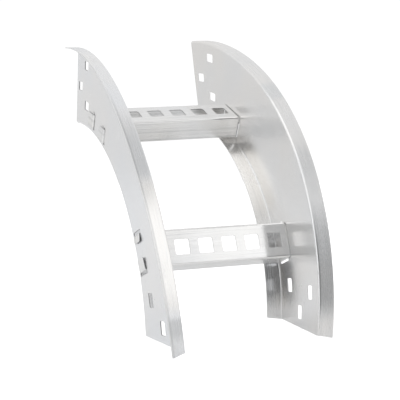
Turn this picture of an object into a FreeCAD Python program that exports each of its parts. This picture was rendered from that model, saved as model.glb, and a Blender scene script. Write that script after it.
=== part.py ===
import FreeCAD, Part
import math
import os

# ---------------------------------------------------------------------------
# Vertical 90 degree bend of a ladder-type cable tray, in bare aluminium sheet.
# Two curved Z-section side rails, a left and a right hand of one shape, are
# joined by two perforated channel rungs. Each rung wall ends in a tab that
# passes through a slit in the rail's web and is hammered flat on its outer face.
#
# Frame: X across the tray, the lower end looks down (-Z), the upper end looks
# back (+Y). The origin is the centre of the lower end, in its cut plane.
# All lengths in millimetres, all angles in degrees unless a name says rad.
# ---------------------------------------------------------------------------

# ---- driving dimensions ----------------------------------------------------
CLEAR_WIDTH = 200.0      # between the inner faces of the two webs, nominal
SIDE_HEIGHT = 110.0      # web height, outside to outside of its two bends
BED_RADIUS = 300.0       # radius of the cable bed (outer face of the rungs)
BED_HEIGHT = 37.5        # cable bed above the concave edge of the rails
ARC = 90.0               # angle of the bend
SHEET = 1.5              # sheet thickness of rails and rungs

CONVEX_FLANGE = 20.5     # width of the flange that points outwards
CONCAVE_FLANGE = 22.5    # width of the flange that points inwards
BEND_IN = 2.0            # inner radius of the sheet bends

# shape the curved rails take when they are pressed
LEAN_MID_RAD = -0.040    # lean of the web halfway round (convex edge outwards)
LEAN_GAIN_RAD = 0.096    # extra lean at the two ends (convex edge inwards)
END_PINCH = -2.7         # sideways pull of the web's concave edge at the ends
CONVEX_TILT_RAD = 0.15   # convex flange opened past square
CONCAVE_TILT_RAD = -0.05 # concave flange closed past square
CONVEX_RUNOUT = 4.4      # convex flange's free edge runs past the web's end
CONCAVE_SETBACK = 4.7    # concave flange's free edge stops short of the end
# near the upper end, fading out over END_FADE degrees of the bend
END_FADE = 28.0
END_RISE = {"right": 7.5, "left": 0.0}            # section moved outwards
END_LEAN_RAD = {"right": 0.042, "left": 0.0}      # more lean, convex edge inwards
END_TILT_RAD = {"right": -0.24, "left": -0.19}    # convex flange closes to square
# growing steadily from the upper end to the lower end
DRIFT_FOOT = {"right": 0.0, "left": 3.2}          # concave edge moved outwards
DRIFT_LEAN_RAD = {"right": 0.0, "left": 0.029}    # convex edge stays in place

# coupling slots, three at each end of each web
SLOT_LONG = 18.0         # along the rail
SLOT_WIDE = 12.0         # across the rail
SLOT_CORNER = 1.8
SLOT_HEIGHTS = (28.5, 84.5)   # the pair, above the concave edge
SLOT_PAIR_ARC = 51.0     # the pair, from the end, along the rail
# the pair at the upper end is punched a little further out
UPPER_PAIR_OUT = {"right": 3.4, "left": 2.2}
SLOT_MID_HEIGHT = 55.0   # the single slot, above the concave edge
SLOT_MID_ARC = 20.0      # the single slot, from the end, along the rail

# rungs
RUNG_ANGLES = {"upper": 22.3, "lower": 67.8}   # round the bend, from the upper end
RUNG_SKEW_RAD = {"upper": 0.0, "lower": 0.020} # right end nearer the lower end
RUNG_WIDTH = 49.0        # over the two walls
RUNG_DEPTH = 31.0        # from the cable bed to the free edges of the walls
RUNG_HALF_LENGTH = 98.3
HOLE_SIZE = 20.0         # perforations of the cable bed
HOLE_CORNER = 2.6
HOLE_PITCH = 33.3
HOLE_COUNT = 6
HOLE_SHIFT = -2.7        # the punched row isn't centred on the rung's length

# end tabs of the rungs
TAB_LOW = 7.0            # radial span of a tab above the concave edge
TAB_HIGH = 27.5
# length of each folded part from the wall's face: first the wall nearer the
# upper end, then the other wall
TAB_REACH = {"upper": (17.5, 17.5), "lower": (11.5, 17.5)}
TAB_CORNER = 3.5
TAB_BEND_IN = 0.9        # inner radius of the hammered fold
TAB_LIFT = 5.0           # the folded part springs back by this many degrees
SLIT_LOW = 6.2
SLIT_HIGH = 29.8
SLIT_TIGHT = 0.70        # slit edge to wall on the side the tab folds to
SLIT_SLACK = {"right": 2.7, "left": 4.4}   # slit edge to wall on the other side
SLIT_CORNER = 0.8
# the way each tab folds: -1 towards the upper end, +1 towards the lower end,
# first for the wall nearer the upper end, then for the other wall
TAB_FOLDS = {"upper": (-1, -1), "lower": (1, -1)}

# ---- derived ---------------------------------------------------------------
RI = BED_RADIUS - BED_HEIGHT             # radius of the rails' concave edge
YC = RI + SIDE_HEIGHT / 2.0              # arc centre, behind the origin
HALF = CLEAR_WIDTH / 2.0
T2 = SHEET / 2.0
V = FreeCAD.Vector


def at(phi, r, x):
    """Point at angle phi (radians, 0 at the upper end), radius r, offset x."""
    return V(x, YC - r * math.sin(phi), r * math.cos(phi))


def bow(phi):
    """0 halfway round the bend, 1 at its two ends."""
    half = math.radians(ARC) / 2.0
    return ((phi - half) / half) ** 2


def upper_end(phi):
    """1 at the upper end, fading to 0 over END_FADE degrees."""
    u = phi / math.radians(END_FADE)
    return (1.0 - u * u) ** 2 if abs(u) < 1.0 else 0.0


def lean(phi, side):
    return (LEAN_MID_RAD + LEAN_GAIN_RAD * bow(phi) + END_LEAN_RAD[side] * upper_end(phi)
            + DRIFT_LEAN_RAD[side] * phi / math.radians(ARC))


def foot_x(phi, side):
    """Distance of the web's concave edge from the middle plane, inner face."""
    return HALF + END_PINCH * bow(phi) + DRIFT_FOOT[side] * phi / math.radians(ARC)


def rise(phi, side):
    return END_RISE[side] * upper_end(phi)


def web_x(phi, height, side, outer=False):
    """Distance of the web's inner or outer face from the middle plane."""
    a = lean(phi, side)
    x = foot_x(phi, side) - (height - rise(phi, side)) * math.tan(a)
    return x + (SHEET / math.cos(a) if outer else 0.0)


# ---- side rail: a Z section that changes slightly along the arc ------------
def cross_lines(p, d, q, e):
    """Intersection of two lines in (r, x), each a point and a direction."""
    det = d[0] * e[1] - d[1] * e[0]
    s = ((q[0] - p[0]) * e[1] - (q[1] - p[1]) * e[0]) / det
    return (p[0] + s * d[0], p[1] + s * d[1])


def section(phi, side):
    """Closed wire of a rail's Z section in the radial plane at phi, drawn on
    the right; the left rail is this wire's mirror image."""
    a = lean(phi, side)
    ao = a + CONVEX_TILT_RAD + END_TILT_RAD[side] * upper_end(phi)
    ai = a + CONCAVE_TILT_RAD
    base = foot_x(phi, side)
    up = rise(phi, side)
    wd = (math.cos(a), -math.sin(a))              # along the web, outwards in r
    wn = (math.sin(a), math.cos(a))               # web normal, away from the tray
    od = (math.sin(ao), math.cos(ao))             # along the convex flange
    on = (-math.cos(ao), math.sin(ao))            # its normal, into the metal
    idr = (-math.sin(ai), -math.cos(ai))          # along the concave flange
    inn = (math.cos(ai), -math.sin(ai))           # its normal, into the metal
    web_p = (RI + T2 * wn[0], base + T2 * wn[1])
    top = (RI + SIDE_HEIGHT * wd[0], base + SIDE_HEIGHT * wd[1])
    top_p = (top[0] + T2 * on[0], top[1] + T2 * on[1])
    low_p = (RI + T2 * inn[0], base + T2 * inn[1])
    m1 = cross_lines(low_p, idr, web_p, wd)
    m2 = cross_lines(web_p, wd, top_p, od)
    m0 = (low_p[0] + CONCAVE_FLANGE * idr[0], low_p[1] + CONCAVE_FLANGE * idr[1])
    m3 = (top_p[0] + CONVEX_FLANGE * od[0], top_p[1] + CONVEX_FLANGE * od[1])

    def face_line(sign):
        """One face of the sheet from m0 to m3: points and arc middle points."""
        pts = [(m0[0] + sign * T2 * inn[0], m0[1] + sign * T2 * inn[1])]
        mids = []
        for prev, cor, nxt in ((m0, m1, m2), (m1, m2, m3)):
            u = (cor[0] - prev[0], cor[1] - prev[1])
            w = (nxt[0] - cor[0], nxt[1] - cor[1])
            lu = math.hypot(*u)
            lw = math.hypot(*w)
            u = (u[0] / lu, u[1] / lu)
            w = (w[0] / lw, w[1] / lw)
            turn = math.atan2(u[0] * w[1] - u[1] * w[0], u[0] * w[0] + u[1] * w[1])
            rm = BEND_IN + T2
            tl = rm * math.tan(abs(turn) / 2.0)
            start = (cor[0] - tl * u[0], cor[1] - tl * u[1])
            # centre of the bend, on the inner side of the turn
            nu = (-u[1], u[0]) if turn > 0 else (u[1], -u[0])
            cen = (start[0] + rm * nu[0], start[1] + rm * nu[1])
            # face offset: sign +1 is the face with normal 'inn' at the start
            ref = (-u[1], u[0])
            flat_n = inn if cor is m1 else wn_face
            same = (ref[0] * flat_n[0] + ref[1] * flat_n[1]) > 0
            off = sign * (1.0 if same else -1.0)       # along ref
            towards = 1.0 if turn > 0 else -1.0        # centre lies along ref?
            rad = rm - off * towards * T2
            a0 = math.atan2(start[1] - cen[1], start[0] - cen[0])
            for k, ang in ((0, 0.0), (1, turn / 2.0), (2, turn)):
                q = (cen[0] + rad * math.cos(a0 + ang), cen[1] + rad * math.sin(a0 + ang))
                (mids if k == 1 else pts).append(q)
        # free end of the convex flange on the same face of the sheet
        nn = (-od[1], od[0])
        same = (nn[0] * end_n[0] + nn[1] * end_n[1]) > 0
        s = sign * (1.0 if same else -1.0)
        pts.append((m3[0] + s * T2 * nn[0], m3[1] + s * T2 * nn[1]))
        return pts, mids

    # follow one face of the sheet round both bends: its normal turns with it
    def turned(n, u, w):
        c = u[0] * w[0] + u[1] * w[1]
        s = u[0] * w[1] - u[1] * w[0]
        return (n[0] * c - n[1] * s, n[0] * s + n[1] * c)

    wn_face = turned(inn, idr_rev(idr), wd)
    end_n = turned(wn_face, wd, od)
    pa, ma = face_line(+1)
    pb, mb = face_line(-1)

    def p3(q):
        return at(phi, q[0] + up, q[1])

    edges = []
    edges.append(Part.LineSegment(p3(pa[0]), p3(pa[1])).toShape())
    edges.append(Part.Arc(p3(pa[1]), p3(ma[0]), p3(pa[2])).toShape())
    edges.append(Part.LineSegment(p3(pa[2]), p3(pa[3])).toShape())
    edges.append(Part.Arc(p3(pa[3]), p3(ma[1]), p3(pa[4])).toShape())
    edges.append(Part.LineSegment(p3(pa[4]), p3(pa[5])).toShape())
    edges.append(Part.LineSegment(p3(pa[5]), p3(pb[5])).toShape())
    edges.append(Part.LineSegment(p3(pb[5]), p3(pb[4])).toShape())
    edges.append(Part.Arc(p3(pb[4]), p3(mb[1]), p3(pb[3])).toShape())
    edges.append(Part.LineSegment(p3(pb[3]), p3(pb[2])).toShape())
    edges.append(Part.Arc(p3(pb[2]), p3(mb[0]), p3(pb[1])).toShape())
    edges.append(Part.LineSegment(p3(pb[1]), p3(pb[0])).toShape())
    edges.append(Part.LineSegment(p3(pb[0]), p3(pa[0])).toShape())
    return Part.Wire(edges)


def idr_rev(d):
    """Direction of travel along the concave flange, free edge to corner."""
    return (-d[0], -d[1])


def rounded_bar(length_x, size_y, size_z, corner):
    """Bar along X, centred on the origin, with its four long edges rounded."""
    bar = Part.makeBox(length_x, size_y, size_z,
                       V(-length_x / 2.0, -size_y / 2.0, -size_z / 2.0))
    long_edges = [e for e in bar.Edges
                  if abs(e.Vertexes[0].Point.x - e.Vertexes[1].Point.x) > 1e-6]
    return bar.makeFillet(corner, long_edges)


def place(shape, phi, r, x):
    """Turn a shape's +Z to the outward radial at phi and move it there."""
    s = shape.copy()
    s.Placement = FreeCAD.Placement(at(phi, r, x),
                                    FreeCAD.Rotation(V(1, 0, 0), math.degrees(phi)))
    return s


def end_trim(side, phi):
    """What is cut away past the rail's end at phi, drawn at the lower end:
    square across the web, run out under the convex flange, set back on the
    concave flange."""
    deep = 60.0
    wide = 60.0
    x_low = foot_x(phi, side)
    x_top = x_low - SIDE_HEIGHT * math.sin(lean(phi, side))
    outer_r = RI + SIDE_HEIGHT
    web_cut = Part.makeBox(2 * wide, SIDE_HEIGHT - 2 * (BEND_IN + SHEET), deep,
                           V(HALF - wide, YC - outer_r + BEND_IN + SHEET, -deep))
    # convex flange: a line that falls away towards the free edge
    pts = [V(HALF - wide, 0, 0), V(x_top + 3.0, 0, 0),
           V(x_top + CONVEX_FLANGE, 0, -CONVEX_RUNOUT * 0.93),
           V(x_top + 2 * CONVEX_FLANGE, 0, -CONVEX_RUNOUT),
           V(x_top + 2 * CONVEX_FLANGE, 0, -deep), V(HALF - wide, 0, -deep)]
    flange_a = Part.Face(Part.makePolygon(pts + [pts[0]]))
    flange_a = flange_a.extrude(V(0, -30.0, 0))
    flange_a.translate(V(0, YC - outer_r + BEND_IN + SHEET, 0))
    # concave flange: a line that rises towards the free edge
    pts = [V(HALF + wide, 0, 0), V(x_low - 1.0, 0, 0),
           V(x_low - CONCAVE_FLANGE * 1.1, 0, CONCAVE_SETBACK),
           V(x_low - 2 * CONCAVE_FLANGE, 0, CONCAVE_SETBACK),
           V(x_low - 2 * CONCAVE_FLANGE, 0, -deep), V(HALF + wide, 0, -deep)]
    flange_b = Part.Face(Part.makePolygon(pts + [pts[0]]))
    flange_b = flange_b.extrude(V(0, 30.0, 0))
    flange_b.translate(V(0, YC - RI - BEND_IN - SHEET, 0))
    tools = [web_cut, flange_a, flange_b]
    for t in tools:
        t.translate(V(0, -rise(phi, side), 0))
    return tools


def mirrored_end(shape):
    """Lower end to upper end: reflect in the plane halfway round the bend."""
    return shape.mirror(V(0, YC, 0), V(0, 1, 1))


def coupling_slots(side):
    bars = []
    arc = math.radians(ARC)
    spots = [(SLOT_MID_HEIGHT, SLOT_MID_ARC)] + [(h, SLOT_PAIR_ARC) for h in SLOT_HEIGHTS]
    for height, dist in spots:
        r = RI + height
        bar = rounded_bar(40.0, SLOT_LONG, SLOT_WIDE, SLOT_CORNER)
        out = UPPER_PAIR_OUT[side] if dist == SLOT_PAIR_ARC else 0.0
        for phi, more in ((dist / r, out), (arc - dist / r, 0.0)):
            bars.append(place(bar, phi, r + more + rise(phi, side), HALF))
    return bars


def wall_span(wall):
    """Tangential span of a rung wall (towards +phi), wall -1 or +1."""
    outer = wall * RUNG_WIDTH / 2.0
    inner = outer - wall * SHEET
    return min(outer, inner), max(outer, inner)


def slit_span(wall, fold, side):
    lo, hi = wall_span(wall)
    if fold < 0:
        return lo - SLIT_TIGHT, hi + SLIT_SLACK[side]
    return lo - SLIT_SLACK[side], hi + SLIT_TIGHT


def local_to_rung(shape, phi, skew):
    """Rung frame: X across, Y tangential with -Y towards the lower end,
    Z outward, zero at the concave edge of the rails. The skew takes the +X
    end towards the lower end."""
    s = shape.copy()
    turn = FreeCAD.Rotation(V(1, 0, 0), math.degrees(phi))
    turn = turn.multiply(FreeCAD.Rotation(V(0, 0, 1), -math.degrees(skew)))
    frame = FreeCAD.Placement(at(phi, RI, 0), turn)
    s.Placement = frame.multiply(shape.Placement)
    return s


def side_skew(name, side):
    """Skew of a rung as seen in the frame that a side is drawn in."""
    return RUNG_SKEW_RAD[name] * (1.0 if side == "right" else -1.0)


def tab_slits(side):
    bars = []
    for name, deg in RUNG_ANGLES.items():
        for wall, fold in zip((-1, 1), TAB_FOLDS[name]):
            lo, hi = slit_span(wall, fold, side)
            bar = rounded_bar(40.0, hi - lo, SLIT_HIGH - SLIT_LOW, SLIT_CORNER)
            bar.translate(V(HALF, -(lo + hi) / 2.0, (SLIT_LOW + SLIT_HIGH) / 2.0))
            bars.append(local_to_rung(bar, math.radians(deg), side_skew(name, side)))
    return bars


def side_rail(side):
    """A side rail; the left one is drawn on the right and then mirrored."""
    extra = math.radians(3.0)
    arc = math.radians(ARC)
    count = 13
    wires = [section(-extra + (arc + 2 * extra) * k / (count - 1.0), side) for k in range(count)]
    body = Part.makeLoft(wires, True, False, False, 5)
    tools = end_trim(side, arc)
    tools += [mirrored_end(t) for t in end_trim(side, 0.0)]
    tools += coupling_slots(side) + tab_slits(side)
    for tool in tools:
        body = body.cut(tool)
    return body if side == "right" else body.mirror(V(0, 0, 0), V(1, 0, 0))


# ---- rung: folded channel with four tabs ------------------------------------
def channel_profile():
    """Face of the channel section in the rung frame's YZ plane."""
    w = RUNG_WIDTH / 2.0
    zt = BED_HEIGHT
    zb = BED_HEIGHT - RUNG_DEPTH
    ro = BEND_IN + SHEET
    ri = BEND_IN
    c = math.cos(math.radians(45.0))

    def p(y, z):
        return V(0, y, z)

    e = []
    e.append(Part.LineSegment(p(-w, zb), p(-w, zt - ro)).toShape())
    e.append(Part.Arc(p(-w, zt - ro), p(-w + ro - ro * c, zt - ro + ro * c), p(-w + ro, zt)).toShape())
    e.append(Part.LineSegment(p(-w + ro, zt), p(w - ro, zt)).toShape())
    e.append(Part.Arc(p(w - ro, zt), p(w - ro + ro * c, zt - ro + ro * c), p(w, zt - ro)).toShape())
    e.append(Part.LineSegment(p(w, zt - ro), p(w, zb)).toShape())
    e.append(Part.LineSegment(p(w, zb), p(w - SHEET, zb)).toShape())
    e.append(Part.LineSegment(p(w - SHEET, zb), p(w - SHEET, zt - ro)).toShape())
    e.append(Part.Arc(p(w - SHEET, zt - ro), p(w - ro + ri * c, zt - ro + ri * c), p(w - ro, zt - SHEET)).toShape())
    e.append(Part.LineSegment(p(w - ro, zt - SHEET), p(-w + ro, zt - SHEET)).toShape())
    e.append(Part.Arc(p(-w + ro, zt - SHEET), p(-w + ro - ri * c, zt - ro + ri * c), p(-w + SHEET, zt - ro)).toShape())
    e.append(Part.LineSegment(p(-w + SHEET, zt - ro), p(-w + SHEET, zb)).toShape())
    e.append(Part.LineSegment(p(-w + SHEET, zb), p(-w, zb)).toShape())
    return Part.Face(Part.Wire(e))


def tab(phi, wall, fold, length_out, side, skew):
    """One tab, drawn at the +X end: straight through the web, folded, then flat
    on the web's outer face. Built in the rung frame, folding towards 'fold'."""
    lo, hi = wall_span(wall)                # tangential span, towards +phi
    tall = TAB_HIGH - TAB_LOW
    # the folded part sits just clear of the web over its whole footprint
    far = 0.0
    for h in (TAB_LOW, TAB_HIGH):
        for reach in (0.0, length_out):
            along = (lo if fold < 0 else hi) + fold * reach
            tang = along * math.cos(skew) + HALF * math.sin(skew)
            r = math.hypot(RI + h, tang)
            ph = phi + math.atan2(tang, RI + h)
            lift = reach * math.tan(math.radians(TAB_LIFT))
            web = (web_x(ph, r - RI, side, True) + along * math.sin(skew)) / math.cos(skew)
            far = max(far, web - lift)
    bend_x = far + 0.08 - TAB_BEND_IN       # where the fold starts
    mid_r = TAB_BEND_IN + T2
    # work with s = tangential coordinate along the fold direction, s = 0 at
    # the wall's face on the fold side
    turn = 90.0 - TAB_LIFT
    straight = Part.makeBox(bend_x - (RUNG_HALF_LENGTH - 1.0), SHEET, tall,
                            V(RUNG_HALF_LENGTH - 1.0, -SHEET, 0))
    # the fold, about an axis parallel to Z through (bend_x, TAB_BEND_IN)
    face = Part.Face(Part.makePolygon([V(bend_x, -SHEET, 0), V(bend_x, 0, 0),
                                       V(bend_x, 0, tall), V(bend_x, -SHEET, tall),
                                       V(bend_x, -SHEET, 0)]))
    axis = V(bend_x, TAB_BEND_IN, 0)
    curve = face.revolve(axis, V(0, 0, 1), turn)
    length = length_out - (TAB_BEND_IN + SHEET)
    flat = Part.makeBox(length, SHEET, tall, V(bend_x, -SHEET, 0))
    corners = [e for e in flat.Edges
               if abs(e.Vertexes[0].Point.y - e.Vertexes[1].Point.y) > 1e-6
               and e.Vertexes[0].Point.x > bend_x + length - 1e-6]
    flat = flat.makeFillet(TAB_CORNER, corners)
    flat.rotate(axis, V(0, 0, 1), turn)
    one = straight.fuse([curve, flat]).removeSplitter()
    # so far the tab folds towards +Y with its wall face at Y = 0; in the rung
    # frame +Y is towards the upper end, so +Y is fold -1
    if fold > 0:
        one = one.mirror(V(0, 0, 0), V(0, 1, 0))
        one.translate(V(0, -hi, TAB_LOW))
    else:
        one.translate(V(0, -lo, TAB_LOW))
    return one


def rung(name):
    phi = math.radians(RUNG_ANGLES[name])
    body = channel_profile().extrude(V(2 * RUNG_HALF_LENGTH, 0, 0))
    body.translate(V(-RUNG_HALF_LENGTH, 0, 0))
    first = -HOLE_PITCH * (HOLE_COUNT - 1) / 2.0 + HOLE_SHIFT
    hole = Part.makeBox(HOLE_SIZE, HOLE_SIZE, 10.0, V(-HOLE_SIZE / 2.0, -HOLE_SIZE / 2.0, BED_HEIGHT - 5.0))
    upright = [e for e in hole.Edges
               if abs(e.Vertexes[0].Point.z - e.Vertexes[1].Point.z) > 1e-6]
    hole = hole.makeFillet(HOLE_CORNER, upright)
    for k in range(HOLE_COUNT):
        h = hole.copy()
        h.translate(V(first + k * HOLE_PITCH, 0, 0))
        body = body.cut(h)
    tabs = []
    for wall, fold, reach in zip((-1, 1), TAB_FOLDS[name], TAB_REACH[name]):
        tabs.append(tab(phi, wall, fold, reach, "right", side_skew(name, "right")))
        other = tab(phi, wall, fold, reach, "left", side_skew(name, "left"))
        tabs.append(other.mirror(V(0, 0, 0), V(1, 0, 0)))
    body = body.fuse(tabs).removeSplitter()
    return local_to_rung(body, phi, RUNG_SKEW_RAD[name])


def clean(shape):
    """The single solid of a shape, with its placement baked in."""
    solids = shape.Solids
    if len(solids) != 1:
        raise ValueError("expected one solid, got %d" % len(solids))
    s = solids[0]
    if not s.isValid():
        s.fix(1e-4, 1e-4, 1e-4)
    if s.Volume < 0:
        s.reverse()
    return s


nodes = {
    "right_side_rail": clean(side_rail("right")),
    "left_side_rail": clean(side_rail("left")),
    "upper_rung": clean(rung("upper")),
    "lower_rung": clean(rung("lower")),
}

os.makedirs("parts", exist_ok=True)
for node, shape in nodes.items():
    shape.exportStep("parts/%s.step" % node)
    box = shape.optimalBoundingBox(False, False)
    print(node, "volume", round(shape.Volume, 1), "valid", shape.isValid(),
          "faces", len(shape.Faces),
          "box", [round(v, 2) for v in (box.XMin, box.YMin, box.ZMin, box.XMax, box.YMax, box.ZMax)])
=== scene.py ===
import math

import bpy
import numpy as np
from mathutils import Matrix, Vector
from mathutils.geometry import delaunay_2d_cdt


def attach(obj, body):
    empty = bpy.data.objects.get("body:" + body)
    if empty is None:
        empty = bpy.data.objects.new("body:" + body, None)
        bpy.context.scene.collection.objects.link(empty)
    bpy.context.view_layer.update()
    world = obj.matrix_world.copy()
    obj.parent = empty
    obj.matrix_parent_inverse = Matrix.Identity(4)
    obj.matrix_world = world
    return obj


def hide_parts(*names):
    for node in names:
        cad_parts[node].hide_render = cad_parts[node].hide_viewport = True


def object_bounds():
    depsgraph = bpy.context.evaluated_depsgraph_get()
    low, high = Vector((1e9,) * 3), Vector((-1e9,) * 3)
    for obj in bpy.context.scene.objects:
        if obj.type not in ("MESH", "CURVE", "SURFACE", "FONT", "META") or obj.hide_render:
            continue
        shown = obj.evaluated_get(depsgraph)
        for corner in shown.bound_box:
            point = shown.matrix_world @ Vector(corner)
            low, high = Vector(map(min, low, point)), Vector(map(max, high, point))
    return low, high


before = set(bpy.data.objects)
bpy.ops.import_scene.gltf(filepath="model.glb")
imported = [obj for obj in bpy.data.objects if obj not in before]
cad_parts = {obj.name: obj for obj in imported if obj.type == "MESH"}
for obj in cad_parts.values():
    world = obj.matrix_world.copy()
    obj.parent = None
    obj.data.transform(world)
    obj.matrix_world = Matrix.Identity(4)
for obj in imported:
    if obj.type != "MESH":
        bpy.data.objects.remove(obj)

CAD_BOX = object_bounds()


# ------------------------------------------------------------------ camera
def add_camera():
    right = Vector((0.91269, -0.40817, -0.01982))
    down = Vector((-0.0682, -0.10432, -0.9922))
    forward = Vector((0.40292, 0.90692, -0.12305)).normalized()
    right = (right - right.dot(forward) * forward).normalized()
    up = right.cross(forward).normalized()
    data = bpy.data.cameras.new("camera")
    data.sensor_width = 36.0
    data.lens = 106.379
    data.clip_start = 0.05
    data.clip_end = 60.0
    cam = bpy.data.objects.new("camera", data)
    m = Matrix.Identity(4)
    for i in range(3):
        m[i][0] = right[i]
        m[i][1] = up[i]
        m[i][2] = -forward[i]
    m[0][3], m[1][3], m[2][3] = -0.639515, -1.339455, 0.360001
    cam.matrix_world = m
    bpy.context.scene.collection.objects.link(cam)
    bpy.context.scene.camera = cam
    return cam


add_camera()


# ------------------------------------------------------------ node helpers
class Tree:
    def __init__(self, tree):
        self.t = tree
        self.n = tree.nodes
        self.l = tree.links

    def node(self, kind, **props):
        d = self.n.new(kind)
        for k, v in props.items():
            setattr(d, k, v)
        return d

    def put(self, sock, value):
        if isinstance(value, bpy.types.NodeSocket):
            self.l.new(value, sock)
        elif value is not None:
            sock.default_value = value

    def math(self, op, a, b=None, c=None, clamp=False):
        d = self.node("ShaderNodeMath", operation=op, use_clamp=clamp)
        self.put(d.inputs[0], a)
        self.put(d.inputs[1], b)
        self.put(d.inputs[2], c)
        return d.outputs[0]

    def step(self, v, lo, hi):
        """0 below lo, 1 above hi, smooth between; lo may be over hi."""
        d = self.node("ShaderNodeMapRange", interpolation_type="SMOOTHSTEP", clamp=True)
        self.put(d.inputs["Value"], v)
        if lo < hi:
            d.inputs["From Min"].default_value, d.inputs["From Max"].default_value = lo, hi
            d.inputs["To Min"].default_value, d.inputs["To Max"].default_value = 0.0, 1.0
        else:
            d.inputs["From Min"].default_value, d.inputs["From Max"].default_value = hi, lo
            d.inputs["To Min"].default_value, d.inputs["To Max"].default_value = 1.0, 0.0
        return d.outputs["Result"]

    def band(self, v, a, b, c, d):
        """Rises from a to b, falls from c to d."""
        return self.math("MULTIPLY", self.step(v, a, b), self.step(v, d, c))

    def blend(self, base, other, mask):
        """base*(1-mask) + other*mask for single numbers."""
        d = self.node("ShaderNodeMix", data_type="FLOAT")
        self.put(d.inputs[0], mask)
        self.put(d.inputs[2], base)
        self.put(d.inputs[3], other)
        return d.outputs[0]

    def tint(self, base, other, mask):
        d = self.node("ShaderNodeMix", data_type="RGBA")
        self.put(d.inputs[0], mask)
        self.put(d.inputs[6], base)
        self.put(d.inputs[7], other)
        return d.outputs[2]

    def attribute(self, name):
        d = self.node("ShaderNodeAttribute", attribute_type="GEOMETRY", attribute_name=name)
        return d.outputs["Fac"]

    def scaled(self, vec, scale, shift=(0.0, 0.0, 0.0), turn=(0.0, 0.0, 0.0)):
        d = self.node("ShaderNodeMapping", vector_type="POINT")
        self.put(d.inputs["Vector"], vec)
        d.inputs["Scale"].default_value = scale
        d.inputs["Location"].default_value = shift
        d.inputs["Rotation"].default_value = turn
        return d.outputs["Vector"]

    def noise(self, vec, scale=1.0, detail=2.0, rough=0.5):
        d = self.node("ShaderNodeTexNoise", noise_dimensions="3D")
        self.put(d.inputs["Vector"], vec)
        d.inputs["Scale"].default_value = scale
        d.inputs["Detail"].default_value = detail
        d.inputs["Roughness"].default_value = rough
        return d.outputs["Fac"]


# ------------------------------------------------------------ studio light
def studio():
    """A pale room round the object: a light ground tone with a few broad soft
    panels and grey gaps between them, all fixed in the room."""
    world = bpy.data.worlds.new("studio")
    bpy.context.scene.world = world
    world.use_nodes = True
    t = Tree(world.node_tree)
    t.n.clear()
    out = t.node("ShaderNodeOutputWorld")
    coord = t.node("ShaderNodeTexCoord")
    sep = t.node("ShaderNodeSeparateXYZ")
    t.l.new(coord.outputs["Generated"], sep.inputs[0])
    x, y, z = sep.outputs
    el = t.math("MULTIPLY", t.math("ARCSINE", z), 180.0 / math.pi)
    az = t.math("MULTIPLY", t.math("ARCTAN2", x, y), 180.0 / math.pi)

    tone = 0.80
    lum = t.blend(tone, tone, 0.0)

    def panel(lum, value, azb, elb, amount=1.0):
        mask = t.math("MULTIPLY", t.band(az, *azb), t.band(el, *elb))
        if amount != 1.0:
            mask = t.math("MULTIPLY", mask, amount)
        return t.blend(lum, value, mask)

    # behind the object, low
    lum = panel(lum, 0.71, (-75, -45, 50, 80), (-40, -14, 8, 26))
    # grey gap over the right, high
    lum = panel(lum, 0.61, (62, 84, 172, 186), (43, 50, 60, 68))
    # behind the object, under the horizon, past the floor
    lum = panel(lum, 0.68, (-70, -50, 0, 30), (-30, -24, -2, 1))
    # soft panel on the right front, its lower part narrower
    lum = panel(lum, 1.12, (96, 116, 150, 160), (15, 23, 38, 45))
    lum = panel(lum, 1.12, (96, 116, 140, 149), (0, 10, 18, 24))
    # grey to the front, towards the viewer
    lum = panel(lum, 0.33, (151, 164, 185, 186), (-40, -6, 34, 54))
    lum = panel(lum, 0.06, (-186, -185, -138, -124), (-14, 0, 24, 40))
    # left side panel, high, and a lower one beside it
    lum = panel(lum, 1.34, (-134, -122, -76, -54), (40, 49, 66, 80))
    lum = panel(lum, 1.35, (-124, -112, -66, -46), (-24, -12, 24, 40))
    # low front
    lum = panel(lum, 0.72, (100, 125, 186, 187), (-60, -30, -8, 2))
    colour = t.node("ShaderNodeCombineColor")
    for i in range(3):
        t.l.new(lum, colour.inputs[i])
    light = t.node("ShaderNodeBackground")
    t.l.new(colour.outputs[0], light.inputs["Color"])
    light.inputs["Strength"].default_value = 1.0
    white = t.node("ShaderNodeBackground")
    white.inputs["Color"].default_value = (1, 1, 1, 1)
    white.inputs["Strength"].default_value = 1.06
    path = t.node("ShaderNodeLightPath")
    mix = t.node("ShaderNodeMixShader")
    t.l.new(path.outputs["Is Camera Ray"], mix.inputs[0])
    t.l.new(light.outputs[0], mix.inputs[1])
    t.l.new(white.outputs[0], mix.inputs[2])
    t.l.new(mix.outputs[0], out.inputs["Surface"])
    world.cycles.sampling_method = "MANUAL"
    world.cycles.sample_map_resolution = 512


studio()


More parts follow.
